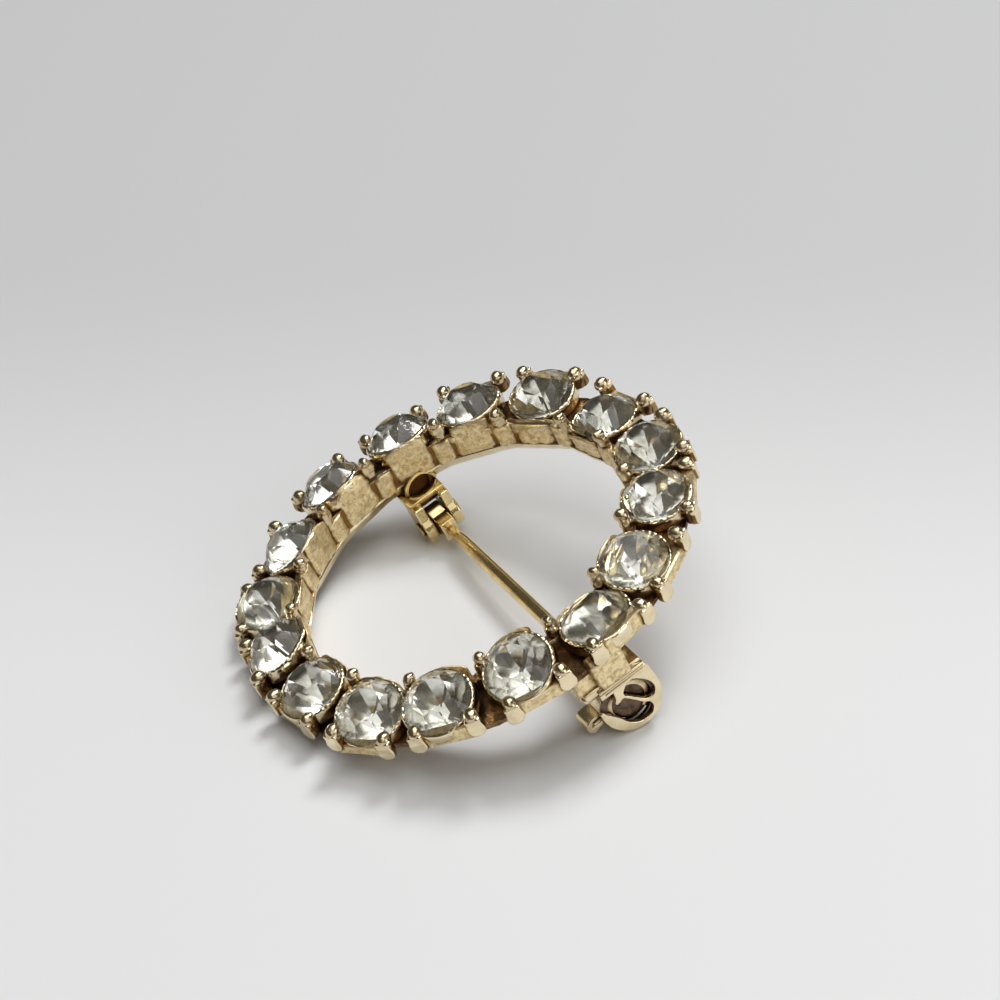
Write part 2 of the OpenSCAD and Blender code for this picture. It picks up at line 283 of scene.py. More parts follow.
def gilding(name, pale, brown, scale, stain, grain, depth, dull):
    """Plating with its two tones, the stains' scale and share, the grain's share and its depth
    in metres, and the roughness where it is pale and where it is brown."""
    mat = bpy.data.materials.new(name)
    mat.use_nodes = True
    nodes, links = mat.node_tree.nodes, mat.node_tree.links
    bsdf = nodes["Principled BSDF"]
    bsdf.inputs["Metallic"].default_value = 1
    place = nodes.new("ShaderNodeTexCoord")
    wear = nodes.new("ShaderNodeGroup")
    wear.node_tree = patina
    wear.inputs["Scale"].default_value = scale
    wear.inputs["Stain"].default_value = stain
    wear.inputs["Grain"].default_value = grain
    tone = nodes.new("ShaderNodeMix")
    tone.data_type = "RGBA"
    tone.inputs["A"].default_value = (*pale, 1)
    tone.inputs["B"].default_value = (*brown, 1)
    dulling = nodes.new("ShaderNodeMapRange")
    dulling.inputs["To Min"].default_value = dull[0]
    dulling.inputs["To Max"].default_value = dull[1]
    bump = nodes.new("ShaderNodeBump")
    bump.inputs["Strength"].default_value = 1
    bump.inputs["Distance"].default_value = depth
    links.new(place.outputs["Object"], wear.inputs["Vector"])
    # This attribute carries painted shade: it adds to the stains, darkening the plating towards its
    # brown tone and dulling it.
    painted_shade = nodes.new("ShaderNodeAttribute")
    painted_shade.attribute_name = "painted_shade"
    both = nodes.new("ShaderNodeMath")
    both.use_clamp = True
    links.new(wear.outputs["Brown"], both.inputs[0])
    links.new(painted_shade.outputs["Fac"], both.inputs[1])
    links.new(both.outputs["Value"], tone.inputs["Factor"])
    links.new(tone.outputs["Result"], bsdf.inputs["Base Color"])
    links.new(both.outputs["Value"], dulling.inputs["Value"])
    links.new(dulling.outputs["Result"], bsdf.inputs["Roughness"])
    links.new(wear.outputs["Height"], bump.inputs["Height"])
    links.new(bump.outputs["Normal"], bsdf.inputs["Normal"])
    return mat


cast_gilding = gilding(
    "cast_gilding", (0.95, 0.78, 0.46), (0.32, 0.20, 0.08), 2500, 0.68, 0.9, 0.000025, (0.34, 0.55)
)
bright_gilding = gilding(
    "bright_gilding", (0.93, 0.80, 0.54), (0.24, 0.13, 0.04), 700, 0.25, 0.3, 0.000006, (0.12, 0.35)
)
wire_gilding = gilding(
    "wire_gilding", (0.98, 0.80, 0.43), (0.22, 0.12, 0.04), 800, 0.4, 0.3, 0.000006, (0.14, 0.38)
)
# A darker copy of the plating for the claws: painted shade standing for their dark reflections.
shaded_claw_gilding = gilding(
    "shaded_claw_gilding", (0.74, 0.61, 0.40), (0.20, 0.12, 0.05), 700, 0.3, 0.3, 0.000006, (0.20, 0.40)
)
# Near-black plating: painted shade for the insides of the catch seen through its windows.
shade_gilding = gilding(
    "shade_gilding", (0.20, 0.14, 0.10), (0.06, 0.035, 0.025), 900, 0.8, 0.6, 0.00002, (0.12, 0.35)
)
# Dark brown plating: painted shade for the sunk floor between the cups and the pocket behind the
# hinge.
recess_shade_gilding = gilding(
    "recess_shade_gilding", (0.36, 0.23, 0.11), (0.09, 0.045, 0.02), 1100, 0.9, 0.8, 0.00003, (0.18, 0.45)
)


# The cups. Sixteen round cups, cast with the ring: a thin rim around the stone, uneven as a
# worn row of beads, a straight collar, and a cone that closes behind the stone.
def grow_rings(steps, count):
    """From one ring of vertices at the first radius and height, pulls up the next ones."""
    clear()
    bpy.ops.mesh.primitive_circle_add(
        vertices=count, radius=steps[0][0], location=(0, 0, steps[0][1]), fill_type="NOTHING"
    )
    bpy.ops.object.transform_apply(location=True)
    bpy.ops.object.mode_set(mode="EDIT")
    bpy.ops.mesh.select_all(action="SELECT")
    for (r0, z0), (r1, z1) in zip(steps, steps[1:]):
        bpy.ops.mesh.extrude_edges_move(TRANSFORM_OT_translate={"value": (0, 0, z1 - z0)})
        s = r1 / r0
        bpy.ops.transform.resize(value=(s, s, 1), center_override=(0, 0, z1))
    bpy.ops.object.mode_set(mode="OBJECT")
    return bpy.context.object


def close_and_turn_out(ob):
    only(ob)
    bpy.ops.object.mode_set(mode="EDIT")
    bpy.ops.mesh.select_all(action="SELECT")
    bpy.ops.mesh.remove_doubles(threshold=0.0001)
    bpy.ops.mesh.fill_holes(sides=0)
    bpy.ops.mesh.normals_make_consistent(inside=False)
    bpy.ops.object.mode_set(mode="OBJECT")


def modify(ob, kind, **values):
    only(ob)
    mod = ob.modifiers.new(kind.lower(), kind)
    for key, value in values.items():
        setattr(mod, key, value)
    bpy.ops.object.modifier_apply(modifier=mod.name)


def roughen(ob, size, strength, group=""):
    cloud = bpy.data.textures.new("cloud", "CLOUDS")
    cloud.noise_scale = size
    cloud.noise_depth = 2
    modify(
        ob,
        "DISPLACE",
        texture=cloud,
        texture_coords="LOCAL",
        strength=strength,
        mid_level=0.5,
        vertex_group=group,
    )


def mark(ob, name, test):
    group = ob.vertex_groups.new(name=name)
    group.add([v.index for v in ob.data.vertices if test(v.co)], 1, "REPLACE")


def smooth(ob, angle=40):
    only(ob)
    bpy.ops.object.shade_smooth_by_angle(angle=math.radians(angle))


RIM_LOW = -0.3
cup = grow_rings(
    [
        (0.25, -2.12), (2.25, -0.60), (2.38, -0.36), (2.39, -0.22), (2.41, -0.14), (2.46, -0.10),
        (2.51, -0.11), (2.56, -0.16), (2.60, -0.25), (2.62, -0.45), (2.62, -0.8), (2.60, -1.1),
        (2.4, -1.3), (1.6, -1.85), (0.75, -2.32), (0.55, -2.38),
    ],
    216,
)
close_and_turn_out(cup)
for v in cup.data.vertices:
    reach = math.hypot(v.co.x, v.co.y)
    if v.co.z > RIM_LOW and reach > 2.37:
        turn = math.atan2(v.co.y, v.co.x)
        bead = abs(math.sin(turn * 17)) * max(0.0, abs(math.sin(turn)) - 0.35)
        v.co.z += 0.10 * bead
mark(cup, "rim", lambda p: p.z > RIM_LOW and math.hypot(p.x, p.y) > STONE_R)
cup.data.materials.append(bright_gilding)


# The outer claws. Two to a stone, cast with the cup: a ball at the top, drawn in over the stone,
# on a leaf-shaped shield that is flat outside and round inside.
def ball_claw(ball, foot, wide):
    """A ball drawn in over the stone, and a leaf and a post that reach down to foot."""
    clear()
    bpy.ops.mesh.primitive_uv_sphere_add(segments=32, ring_count=16, radius=ball)
    top = bpy.context.object
    bpy.ops.object.mode_set(mode="EDIT")
    bpy.ops.mesh.select_all(action="SELECT")
    bpy.ops.transform.resize(value=(1.2, 1.0, 1.0))
    bpy.ops.transform.translate(value=(-0.1, 0, 0))
    bpy.ops.object.mode_set(mode="OBJECT")
    bpy.ops.mesh.primitive_uv_sphere_add(segments=32, ring_count=16, radius=1)
    leaf = bpy.context.object
    bpy.ops.object.mode_set(mode="EDIT")
    bpy.ops.mesh.select_all(action="SELECT")
    bpy.ops.transform.resize(value=(0.42, wide, -foot * 0.6))
    bpy.ops.transform.translate(value=(0, 0, foot * 0.5))
    bpy.ops.object.mode_set(mode="OBJECT")
    bpy.ops.mesh.primitive_cylinder_add(
        vertices=24, radius=ball - 0.04, depth=-foot, location=(-0.04, 0, foot / 2)
    )
    post = bpy.context.object
    return join([top, leaf, post], "claw")


def flat_shape(outlines, thick, soft, place):
    """A plate cut to closed outlines in X and Y, its edges rounded, put where it belongs."""
    clear()
    curve = bpy.data.curves.new("outline", "CURVE")
    curve.dimensions = "2D"
    curve.fill_mode = "BOTH"
    curve.extrude = thick / 2 - soft
    curve.bevel_depth = soft
    curve.bevel_resolution = 2
    curve.offset = -soft
    for points in outlines:
        line = curve.splines.new("BEZIER")
        line.bezier_points.add(len(points) - 1)
        line.use_cyclic_u = True
        line.resolution_u = 4
        for at, (x, y) in zip(line.bezier_points, points):
            at.co = (x, y, 0)
            at.handle_left_type = at.handle_right_type = "AUTO"
    ob = bpy.data.objects.new("outline", curve)
    bpy.context.collection.objects.link(ob)
    only(ob)
    bpy.ops.object.convert(target="MESH")
    ob = bpy.context.object
    ob.data.transform(place)
    return ob


def paint_shade(ob, test, much):
    """Paints shade on the spots where test is true, browning them before the recesses are measured.
    """
    shade_values = ob.data.attributes.new("painted_shade", "FLOAT", "POINT")
    shade_values.data.foreach_set("value", [much if test(v.co) else 0.0 for v in ob.data.vertices])


# OUTWARD stands an outline up, with its face turned out from the cup.
OUTWARD = Matrix(((0, 0, 1, 0), (1, 0, 0, 0), (0, 1, 0, 0), (0, 0, 0, 1)))
SHIELD_LOW = -1.42
SHIELD = [
    (0.50, 0.0), (0.53, -0.30), (0.58, -0.60), (0.62, -0.85), (0.58, -1.10), (0.40, -1.32),
    (0.14, SHIELD_LOW), (-0.14, SHIELD_LOW), (-0.40, -1.32), (-0.58, -1.10), (-0.62, -0.85),
    (-0.58, -0.60), (-0.53, -0.30), (-0.50, 0.0), (-0.2, 0.05), (0.2, 0.05),
]
shield = flat_shape([SHIELD], 0.5, 0.1, Matrix.Translation((0.23, 0, 0)) @ OUTWARD)


def soften(ob, rounds):
    modify(ob, "SMOOTH", factor=0.5, iterations=rounds)


def fuse(ob, voxel, rounds=2):
    modify(ob, "REMESH", mode="VOXEL", voxel_size=voxel)
    soften(ob, rounds)


# Both balls stand CLAW_OUT from the middle of their cup. Each was pushed to a place of its own,
# sideways and in height: the left one's two numbers, and then the right one's.
CLAW_OUT = 2.07
PUSHED_OUT = [
    (2.35, 0.02, 2.02, 0.11), (2.30, 0.01, 2.12, 0.21), (2.45, -0.03, 2.30, -0.26),
    (2.60, 0.30, 1.70, 0.30), (1.96, -0.35, 2.50, -0.36), (1.85, -0.50, 2.11, 0.10),
    (2.19, 0.20, 2.17, -0.36), (1.75, -0.35, 2.22, 0.04), (1.96, -0.17, 2.18, 0.15),
    (1.85, 0.25, 2.05, -0.20), (1.93, 0.01, 1.90, -0.31), (2.12, -0.15, 2.10, 0.15),
    (2.25, -0.45, 1.90, -0.38), (1.75, 0.20, 1.96, -0.55), (2.25, -0.22, 1.96, -0.24),
    (2.19, -0.13, 2.25, -0.21),
]

claw = ball_claw(0.50, -1.2, 0.56)
fuse(claw, 0.05)
claw.data.materials.append(shaded_claw_gilding)
shield.data.materials.append(bright_gilding)
claw = join([claw, shield], "claw")
# Painted shade: the claw's lower part and inner sides are browned.
paint_shade(claw, lambda p: p.z < -0.34 and p.x < 0.38, 0.85)


# Between the two claws of a stone the casting's outer wall is a plain band, which slopes in to
# the rim of the cup and so stands lower where the stone tips outward.
# The band stands upright as high as BEND.
RIM_R = 2.64
BAND_IN, BAND_OUT = 1.6, 2.4
BEND = -0.75


def block(cuts):
    """A cube of size 1 about the origin, each of its edges cut into equal parts."""
    clear()
    bpy.ops.mesh.primitive_cube_add(size=1, location=(0, 0, 0))
    bpy.ops.object.mode_set(mode="EDIT")
    bpy.ops.mesh.select_all(action="SELECT")
    bpy.ops.mesh.subdivide(number_cuts=cuts)
    bpy.ops.object.mode_set(mode="OBJECT")
    return bpy.context.object


def band_for(k):
    edge = claws_place(k).inverted() @ seat_place(k) @ Vector((RIM_R, 0, -0.12))
    left, _, right, _ = PUSHED_OUT[k]
    top = max(edge.z, -1.0)
    band = block(11)
    for v in band.data.vertices:
        thick, side, up = v.co.x + 0.5, v.co.y + 0.5, v.co.z + 0.5
        y = -(left - 0.1) + side * (left + right - 0.2)
        z = SHIELD_LOW + up * (top - SHIELD_LOW)
        slope = max(0.0, (z - BEND) / (top - BEND)) if top > BEND else 0.0
        face = BAND_OUT - 0.06 * slope - max(0.0, BAND_OUT - edge.x) * slope
        v.co = (BAND_IN + thick * (face - BAND_IN), y, z)
    band.data.materials.append(cast_gilding)
    return band


WALL_FACE = 12.52
settings = []
for k in range(STONES):
    at = claws_place(k)
    band = band_for(k)
    band.data.transform(at)
    # The back of each cup is pressed flat where the inner wall passes it.
    bowl = copy_at(cup, "cup_copy", seat_place(k))
    straight = facing(k)
    back, level = straight.inverted(), seat_place(k).inverted()
    for v in bowl.data.vertices:
        spot = back @ v.co
        if spot.x < WALL_FACE and (level @ v.co).z < RIM_LOW:
            spot.x = WALL_FACE
            v.co = straight @ spot
    bits = [bowl, band]
    left, low_l, right, low_r = PUSHED_OUT[k]
    for y, z in ((-left, low_l), (right, low_r)):
        spot = at @ Matrix.Translation((CLAW_OUT, y, z))
        lean = math.atan2(y, CIRCLE_R + CLAW_OUT)
        bits.append(copy_at(claw, "claw_copy", spot @ Matrix.Rotation(lean, 4, "Z")))
    setting = join(bits, f"setting_{k + 1:02d}")
    roughen(setting, 0.45, 0.07)
    roughen(setting, 0.16, 0.05, "rim")
    smooth(setting)
    settings.append(setting)
for ob in (cup, claw):
    bpy.data.objects.remove(ob)


# The inner wall. A band of sixteen flats inside the ring, one behind each stone, that rise to
# the rim of its cup. Broad ribs stand where two of them meet, on a plain bevelled back edge.
INNER_R = 12.35
WALL_LOW, BACK_Z = -2.4, -3.2
CUP_R = 2.62
HALF_RIB = 0.92
PANEL_HALF = INNER_R * math.tan(math.radians(PITCH / 2)) - HALF_RIB

panels = []
for k in range(STONES):
    seat = facing(k).inverted() @ seat_place(k)
    inner_edge = (seat @ Vector((-RIM_R, 0, 0))).x
    panel = block(15)
    for v in panel.data.vertices:
        thick, y, up = v.co.x + 0.5, v.co.y * 2 * PANEL_HALF, v.co.z + 0.5
        off = max(-2.55, min(2.55, y - seat.translation.y))
        rim = seat @ Vector((-math.sqrt(CUP_R**2 - off**2), off, -0.1))
        drop = 0.16 * (y / 1.5) ** 2 + 0.12 * max(0.0, 0.5 - thick)
        z = WALL_LOW + up * (rim.z - drop - WALL_LOW)
        face = INNER_R + (max(inner_edge - 0.03, INNER_R - 0.5) - INNER_R) * up**2
        edge = max(0.0, abs(v.co.y) * 2 - 0.8) / 0.2
        deep = 0.8 * (1 - up**3) + 0.1
        face += 0.18 * edge**1.5 + 0.06 * max(0.0, up - 0.93) / 0.07
        v.co = (face + thick * deep, y, z)
    panel.data.transform(facing(k))
    panels.append(panel)
    rib = block(9)
    for v in rib.data.vertices:
        thick, side, up = v.co.x + 0.5, v.co.y * 2, v.co.z + 0.5
        face = INNER_R + 0.01 + 0.3 * abs(side) ** 5 + 0.25 * max(0.0, up - 0.8)
        sway = 0.06 * math.sin(3 * up + k)
        v.co = (face + thick * 0.7, side * 0.80 + sway, WALL_LOW + up * 1.9)
    rib.data.transform(facing(k + 0.5))
    panels.append(rib)
corner = 1 / math.cos(math.radians(PITCH / 2))
edge_steps = [
    (12.85, BACK_Z), (12.66, -3.12), (12.34, -2.50), (12.30, -2.35), (12.38, -2.26),
    (WALL_FACE, -2.20), (WALL_FACE, -0.5), (13.1, -0.5), (13.2, -1.6), (13.2, BACK_Z),
    (12.85, BACK_Z),
]
back_edge = grow_rings([(r * corner, z) for r, z in edge_steps], STONES)
close_and_turn_out(back_edge)
back_edge.data.transform(facing(0.5))
modify(back_edge, "SUBSURF", subdivision_type="SIMPLE", levels=3, render_levels=3)


def cut_away(ob, tool):
    modify(ob, "BOOLEAN", operation="DIFFERENCE", object=tool, solver="EXACT")


# A half-round gap is filed in its back edge, where the pin's root will be.
GAP_X, GAP_Z = 2.1, -3.25
clear()
bpy.ops.mesh.primitive_cylinder_add(
    vertices=48,
    radius=1.25,
    depth=1.6,
    location=(GAP_X, 12.6, GAP_Z),
    rotation=(math.pi / 2, 0, 0),
)
gap = bpy.context.object
for ob in [back_edge] + panels[-4:]:
    cut_away(ob, gap)
bpy.data.objects.remove(gap)
for ob in panels:
    ob.data.materials.append(cast_gilding)
back_edge.data.materials.append(bright_gilding)
wall = join([back_edge] + panels, "wall")
soften(wall, 4)


# The sunk floor between the cups, with room left for each cup. It is the brownest part of the
# casting: painted shade for the recess it lies in.
floor_web = grow_rings(
    [(12.7, -2.3), (15.5, -2.3), (16.5, -1.85), (16.5, -1.5), (12.7, -1.3), (12.7, -2.3)], 256
)
close_and_turn_out(floor_web)
cup_room = grow_rings([(0.45, -2.45), (2.5, -1.2), (2.5, 1.3)], 64)
close_and_turn_out(cup_room)
rooms = join([copy_at(cup_room, "room", seat_place(k)) for k in range(STONES)], "rooms")
cut_away(floor_web, rooms)
bpy.data.objects.remove(rooms)
bpy.data.objects.remove(cup_room)
floor_web.data.materials.append(recess_shade_gilding)


# The inner claws, one at each junction, which two neighbouring stones share. Each was pushed
# over one by one: how far along the wall, and how high its ball ended up.
PUSHED = [
    (0.0, 0.5), (-0.5, 0.25), (0.0, 0.4), (0.4, 0.3), (0.0, 0.95), (-0.1, 0.75), (0.3, 0.6),
    (0.15, 0.8), (0.0, 0.6), (0.4, 0.65), (0.2, 0.55), (-0.2, 0.3), (0.0, 0.1), (0.4, 0.9),
    (0.6, 1.3), (-0.3, 1.2),
]
inner = ball_claw(0.42, -1.4, 0.56)
fuse(inner, 0.07)
inner.data.materials.append(shaded_claw_gilding)
inner_claws = [
    copy_at(inner, "inner_copy", facing(k + 0.5) @ Matrix.Translation((12.85, along, high)))
    for k, (along, high) in enumerate(PUSHED)
]
bpy.data.objects.remove(inner)
gallery = join([wall, floor_web] + inner_claws, "gallery")
mark(gallery, "faces", lambda p: p.z > -2.6)
roughen(gallery, 1.2, 0.24, "faces")
roughen(gallery, 0.5, 0.09)
roughen(gallery, 0.15, 0.03)


# The hinge. A plate with two ears bent down from it, soldered across the back edge over a
# half-round gap that was filed in the wall for the pin's root.
PIN_X, PIN_Z = 1.8, -5.5
RIVET_Y = 10.9


def slab(low, high, soft=0.06, segments=3):
    """A flat piece between two corners, its edges rounded over."""
    clear()
    low, high = Vector(low), Vector(high)
    bpy.ops.mesh.primitive_cube_add(size=1, location=(low + high) / 2)
    ob = bpy.context.object
    bpy.ops.object.transform_apply(location=True)
    bpy.ops.object.mode_set(mode="EDIT")
    bpy.ops.mesh.select_all(action="SELECT")
    bpy.ops.transform.resize(value=high - low, center_override=(low + high) / 2)
    bpy.ops.mesh.bevel(offset=soft, segments=segments, affect="EDGES")
    bpy.ops.object.mode_set(mode="OBJECT")
    return ob


def disc(radius, thick, x):
    """A round piece about the rivet's axis."""
    clear()
    bpy.ops.mesh.primitive_cylinder_add(
        vertices=64,
        radius=radius,
        depth=thick,
        location=(x, RIVET_Y, PIN_Z),
        rotation=(0, math.pi / 2, 0),
    )
    bpy.ops.object.transform_apply(location=True, rotation=True)
    return bpy.context.object


def arc_shell(r_out, r_in, a0, a1, y0, y1, centre):
    """Part of a tube's wall between two directions, standing along the pin."""
    clear()
    bpy.ops.mesh.primitive_plane_add(size=1, location=(0, 0, 0))
    ob = bpy.context.object
    bpy.ops.object.mode_set(mode="EDIT")
    bpy.ops.mesh.select_all(action="SELECT")
    bpy.ops.transform.resize(value=(r_out - r_in, y1 - y0, 1))
    bpy.ops.transform.translate(value=((r_out + r_in) / 2, (y0 + y1) / 2, 0))
    bpy.ops.mesh.spin(
        steps=max(6, int(abs(a1 - a0) / 6)),
        angle=math.radians(a1 - a0),
        center=(0, 0, 0),
        axis=(0, 1, 0),
    )
    bpy.ops.object.mode_set(mode="OBJECT")
    close_and_turn_out(ob)
    ob.data.transform(Matrix.Translation(centre) @ Matrix.Rotation(-math.radians(a0), 4, "Y"))
    modify(ob, "BEVEL", width=0.05, segments=2, limit_method="ANGLE")
    return ob


def pick_faces(ob, test):
    """Leaves the object in edit mode, with the faces selected for which test is true."""
    only(ob)
    bpy.ops.object.mode_set(mode="EDIT")
    bpy.ops.mesh.select_mode(type="FACE")
    bpy.ops.mesh.select_all(action="DESELECT")
    bpy.ops.object.mode_set(mode="OBJECT")
    for face in ob.data.polygons:
        face.select = test(face)
    bpy.ops.object.mode_set(mode="EDIT")


EAR_R, EAR_THICK = 1.30, 0.8
ears = []
for x in (0.65, 2.95):
    round_end = disc(EAR_R, EAR_THICK, x)
    neck = slab(
        (x - EAR_THICK / 2, RIVET_Y - 0.6, PIN_Z),
        (x + EAR_THICK / 2, RIVET_Y + EAR_R, -3.3),
        0.02,
        1,
    )
    pick_faces(neck, lambda f: f.normal.y < -0.9)
    bpy.ops.transform.translate(value=(0, -0.2, 0))
    bpy.ops.object.mode_set(mode="OBJECT")
    ears += [round_end, neck]
ears = join(ears, "ears")
fuse(ears, 0.07, 3)
plate = slab((0.22, RIVET_Y - 0.02, -3.62), (3.38, RIVET_Y + 3.4, BACK_Z), 0.07)
# The dark lump fills the gap behind the hinge plate: painted shade for the pocket there.
lump = slab((0.5, 12.6, -3.5), (3.1, 14.2, -2.3), 0.25, 4)
lump.data.materials.append(recess_shade_gilding)
back = slab((0.9, 12.2, -4.9), (2.7, 12.6, -3.3), 0.1)
lip = arc_shell(1.40, 1.16, 4, 176, 12.02, 12.5, (GAP_X, 0, GAP_Z))
hinge = join([ears, plate, back, lip], "hinge")
hinge.data.materials.append(wire_gilding)
hinge = join([hinge, lump], "hinge")
roughen(hinge, 0.6, 0.05)
smooth(hinge)


# The hinge rivet, a short wire through both ears with its ends hammered over.
wire = disc(0.42, 3.14, PIN_X)
heads = []
for side in (-1, 1):
    head = disc(0.6, 0.16, PIN_X + side * 1.66)
    bpy.ops.object.mode_set(mode="EDIT")
    bpy.ops.mesh.bevel(offset=0.07, segments=3, affect="EDGES")
    bpy.ops.object.mode_set(mode="OBJECT")
    heads.append(head)
rivet = join([wire] + heads, "rivet")
rivet.data.materials.append(wire_gilding)
smooth(rivet)


# The pin. Drawn wire with a flat eye at the hinge and a long point, gilded with the rest.
ROOT_END = 8.7
eye = disc(1.18, 1.24, PIN_X)
root = slab((PIN_X - 0.6, ROOT_END, PIN_Z - 0.75), (PIN_X + 0.6, RIVET_Y, PIN_Z + 0.85), 0.04, 2)
pick_faces(root, lambda f: f.normal.y < -0.9)
bpy.ops.transform.resize(value=(0.75, 1, 0.62), center_override=(PIN_X, ROOT_END, PIN_Z))
bpy.ops.object.mode_set(mode="OBJECT")
stem = grow_rings(
    [
        (0.02, 16.15), (0.10, 15.7), (0.22, 14.9), (0.34, 13.9), (0.43, 12.6), (0.48, 11.0),
        (0.51, 8.0), (0.52, 2.0), (0.52, -4.0), (0.52, -6.6), (0.50, -7.3), (0.42, -7.7),
        (0.35, -8.0), (0.34, -8.4), (0.34, -9.0),
    ],
    40,
)
close_and_turn_out(stem)
UPRIGHT = Matrix.Rotation(math.pi / 2, 4, "X")
stem.data.transform(Matrix.Translation((PIN_X, 0, PIN_Z)) @ UPRIGHT)
bore = disc(0.45, 2, PIN_X)
pin = join([eye, root], "pin")
fuse(pin, 0.06, 2)
cut_away(pin, bore)
bpy.data.objects.remove(bore)
pin = join([pin, stem], "pin")
pin.data.materials.append(wire_gilding)
smooth(pin)


# The catch. Two flat plates, one over the other, soldered under the back edge, and below them
# a round housing. Its outer end is a plate with a slanting bar: the window above the bar is
# closed all round, and the one below it is open to the housing's mouth.
END_OUTLINE = [
    (0.3, -3.4), (1.14, -3.3), (2.3, -3.3), (3.4, -3.4), (3.9, -3.9), (4.08, -4.7), (4.17, -5.44),
    (4.18, -6.33), (4.0, -6.97), (3.65, -7.57), (3.15, -8.05), (2.6, -8.28), (2.0, -8.36),
    (1.4, -8.28), (0.85, -8.0), (0.36, -7.55), (-0.06, -7.0), (-0.33, -6.3), (-0.42, -5.7),
    (-0.31, -5.2), (-0.03, -5.57), (0.32, -6.04), (0.65, -6.54), (0.96, -7.11), (1.33, -7.56),
    (1.86, -7.9), (2.26, -7.98), (2.63, -7.92), (2.97, -7.7), (3.07, -7.34), (2.95, -6.95),
    (2.62, -6.68), (2.19, -6.11), (1.69, -5.47), (1.49, -5.28), (1.1, -5.4), (0.84, -5.36),
    (0.98, -4.94), (1.03, -4.44), (0.92, -3.93), (0.53, -3.65),
]
UPPER_WINDOW = [
    (1.62, -5.0), (1.83, -4.64), (2.12, -4.40), (2.4, -4.30), (2.73, -4.40), (3.12, -4.77),
    (3.52, -5.29), (3.72, -5.79), (3.71, -6.25), (3.5, -6.58), (3.19, -6.65), (2.82, -6.45),
    (2.44, -6.03), (1.99, -5.5),
]
end_plate = flat_shape(
    [END_OUTLINE, UPPER_WINDOW], 0.36, 0.05, Matrix.Translation((0, -16.62, 0)) @ UPRIGHT
)

CATCH = (PIN_X, 0, -6.2)
shell = arc_shell(2.24, 1.76, -56, 165, -16.3, -13.3, CATCH)
# Painted shade darkens the inside of the housing.
paint_shade(shell, lambda p: math.hypot(p.x - CATCH[0], p.z - CATCH[2]) < 1.95, 1.0)
# A dark ring just inside the end plate: painted shade seen through the windows.
throat = arc_shell(2.22, 1.70, -104, 190, -16.48, -16.2, CATCH)
throat.data.materials.append(shade_gilding)
base = slab((-0.8, -16.7, -3.75), (3.75, -12.4, BACK_Z), 0.1)
layer = slab((0.1, -16.86, -4.3), (3.85, -13.3, -3.8), 0.08)
ridges = [
    slab((0.1, -16.98, -3.66), (3.8, -16.5, -3.46), 0.07),
    slab((0.5, -16.95, -4.10), (3.8, -16.5, -3.96), 0.05),
]
flange = slab((-0.95, -16.5, -4.15), (0.5, -14.6, -3.6), 0.25, 4)
catch = join([end_plate, shell, base, layer, flange] + ridges, "catch")
catch.data.materials.append(bright_gilding)
catch = join([catch, throat], "catch")
# Two lumps of solder hold it to the casting.
SOLDER = [((0.4, -17.1, -3.5), (2.9, -15.7, -1.1)), ((-1.1, -16.5, -3.5), (1.0, -15.2, -1.7))]
feet = []
for low, high in SOLDER:
    foot = slab(low, high, 0.3, 4)
    fuse(foot, 0.1, 3)
    roughen(foot, 0.35, 0.16)
    feet.append(foot)
feet = join(feet, "feet")
feet.data.materials.append(cast_gilding)
catch = join([catch, feet], "catch")
roughen(catch, 0.5, 0.05)
smooth(catch)


# The catch's barrel. A slotted tube that turns in the housing, with a thumb tab made of the
# sheet's two ends laid together.
barrel = arc_shell(1.68, 1.26, -56, 236, -16.28, -13.8, CATCH)
fold = arc_shell(0.58, 0.2, 90, 270, -15.8, -14.2, (-2.75, 0, -0.08))
upper = slab((-2.85, -15.8, 0.24), (-1.5, -14.2, 0.50), 0.08, 3)
lower = slab((-3.0, -15.85, -0.70), (-1.4, -14.2, 0.08), 0.34, 6)
tab = join([fold, upper, lower], "tab")
fuse(tab, 0.05, 5)
tab.data.transform(Matrix.Translation(CATCH) @ Matrix.Rotation(math.radians(-8), 4, "Y"))
barrel = join([barrel, tab], "barrel")
barrel.data.materials.append(bright_gilding)
# The barrel's end is a shallow dark dome: painted shade behind the windows.
dome = grow_rings(
    [
        (0.05, 0.30), (0.5, 0.29), (0.9, 0.27), (1.25, 0.24), (1.5, 0.21), (1.6, 0.16),
        (1.65, 0.08), (1.6, 0.0), (1.5, 0.08), (1.1, 0.14), (0.6, 0.18), (0.05, 0.2),
    ],
    64,
)
close_and_turn_out(dome)
dome.data.transform(Matrix.Translation((CATCH[0], -16.0, CATCH[2])) @ UPRIGHT)
dome.data.materials.append(shade_gilding)
roughen(dome, 0.9, 0.05)
barrel = join([barrel, dome], "barrel")
smooth(barrel)
smooth(gallery)


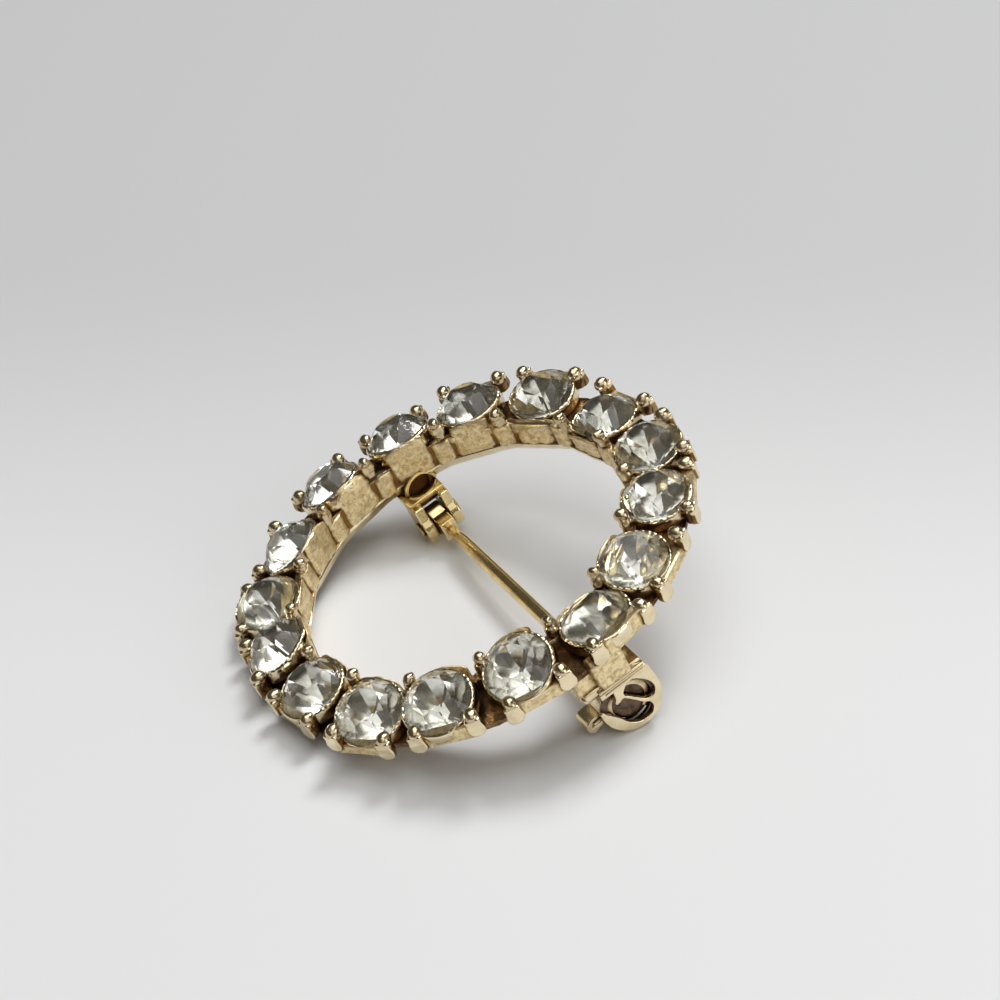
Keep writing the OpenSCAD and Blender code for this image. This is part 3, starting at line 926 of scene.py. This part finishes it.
# Painted shade in the recesses. Every metal piece darkens towards its brown tone by how closed
# in each spot of it is, felt with short rays, on top of the painted shade laid on before.
metal = settings + [gallery, hinge, rivet, pin, catch, barrel]
corners, faces = [], []
for ob in metal:
    start = len(corners)
    corners += [v.co.copy() for v in ob.data.vertices]
    faces += [[start + i for i in face.vertices] for face in ob.data.polygons]
around = BVHTree.FromPolygons(corners, faces)
FEELERS, REACH, GOLDEN_TURN = 14, 1.6, 2.39996
feelers = []
for i in range(FEELERS):
    up = 1 - (i + 0.5) / (FEELERS + 1)
    turn = i * GOLDEN_TURN
    flat = math.sqrt(1 - up * up)
    feelers.append(Vector((flat * math.cos(turn), flat * math.sin(turn), up)))
for ob in metal:
    closed = []
    for v in ob.data.vertices:
        lean = v.normal.to_track_quat("Z", "Y")
        start = v.co + v.normal * 0.04
        met = 0.0
        for feeler in feelers:
            spot, _, _, far = around.ray_cast(start, lean @ feeler, REACH)
            if spot is not None:
                met += 1 - far / (2 * REACH)
        closed.append(max(0.0, min(1.0, met / FEELERS * 1.9 - 0.35)))
    painted_shade = ob.data.attributes.get("painted_shade") or ob.data.attributes.new("painted_shade", "FLOAT", "POINT")
    for spot, deep in zip(painted_shade.data, closed):
        spot.value = min(1.0, spot.value + deep)

for k, ob in enumerate(settings):
    finish(ob, f"setting_{k + 1:02d}", "brooch", "gold_tone_casting", "ring_frame")
finish(gallery, "gallery", "brooch", "gold_tone_casting", "ring_frame")
finish(hinge, "hinge", "brooch", "gold_tone_casting", "ring_frame")
finish(catch, "catch", "brooch", "gold_tone_casting", "ring_frame")
finish(rivet, "peened_rivet", "brooch", "gold_tone_wire", "hinge_rivet")
finish(pin, "pin", "pin", "gold_tone_wire", "pin_stem")
finish(barrel, "barrel", "barrel", "gold_tone_wire", "catch_barrel")


# The table it lies on: a plain pale sheet, with painted shade that makes it a little darker
# away from the camera.
clear()
bpy.ops.mesh.primitive_plane_add(size=1.6, location=(0, 0, 0))
table = bpy.context.object
table.name = "table"
AWAY = (0.628, 0.779, 0)
FADE_FROM, FADE_TO = -0.01, 0.055
NEAR_GREY, FAR_SHADED_GREY = 0.80, 0.60
table_white = bpy.data.materials.new("table_white")
table_white.use_nodes = True
nodes, links = table_white.node_tree.nodes, table_white.node_tree.links
bsdf = nodes["Principled BSDF"]
bsdf.inputs["Roughness"].default_value = 0.6
place = nodes.new("ShaderNodeTexCoord")
along = nodes.new("ShaderNodeVectorMath")
along.operation = "DOT_PRODUCT"
along.inputs[1].default_value = AWAY
away = nodes.new("ShaderNodeMapRange")
away.interpolation_type = "SMOOTHSTEP"
away.inputs["From Min"].default_value = FADE_FROM
away.inputs["From Max"].default_value = FADE_TO
sheet = nodes.new("ShaderNodeMix")
sheet.data_type = "RGBA"
sheet.inputs["A"].default_value = (NEAR_GREY, NEAR_GREY, NEAR_GREY, 1)
sheet.inputs["B"].default_value = (FAR_SHADED_GREY, FAR_SHADED_GREY, FAR_SHADED_GREY, 1)
links.new(place.outputs["Object"], along.inputs[0])
links.new(along.outputs["Value"], away.inputs["Value"])
links.new(away.outputs["Result"], sheet.inputs["Factor"])
links.new(sheet.outputs["Result"], bsdf.inputs["Base Color"])
table.data.materials.append(table_white)


# The light: one high window to the right, a low one nearer the camera, a pale ceiling, and the
# dim warm room around the table and behind the camera.
def lamp(name, place, size, power, tint):
    """A round lamp that faces the brooch."""
    clear()
    bpy.ops.object.light_add(type="AREA", location=place)
    light = bpy.context.object
    light.name = name
    light.data.shape = "DISK"
    light.data.size = size
    light.data.energy = power
    light.data.color = tint
    light.rotation_euler = (-Vector(place)).to_track_quat("-Z", "Y").to_euler()


DAYLIGHT = (0.97, 0.985, 1.0)
lamp("side_window", (0.78, 0.40, 1.20), 0.55, 10.9, DAYLIGHT)
lamp("ceiling", (0.08, 0.05, 1.10), 1.1, 5.4, DAYLIGHT)
lamp("near_window", (0.72, -0.92, 0.40), 0.9, 3.9, DAYLIGHT)
lamp("room_behind", (-0.10, -0.45, 0.48), 0.6, 0.7, (0.98, 0.99, 0.98))

world = bpy.data.worlds.new("room")
bpy.context.scene.world = world
world.use_nodes = True
background = world.node_tree.nodes["Background"]
background.inputs["Color"].default_value = (0.64, 0.57, 0.46, 1)
background.inputs["Strength"].default_value = 0.13
bpy.context.scene.view_settings.view_transform = "Standard"
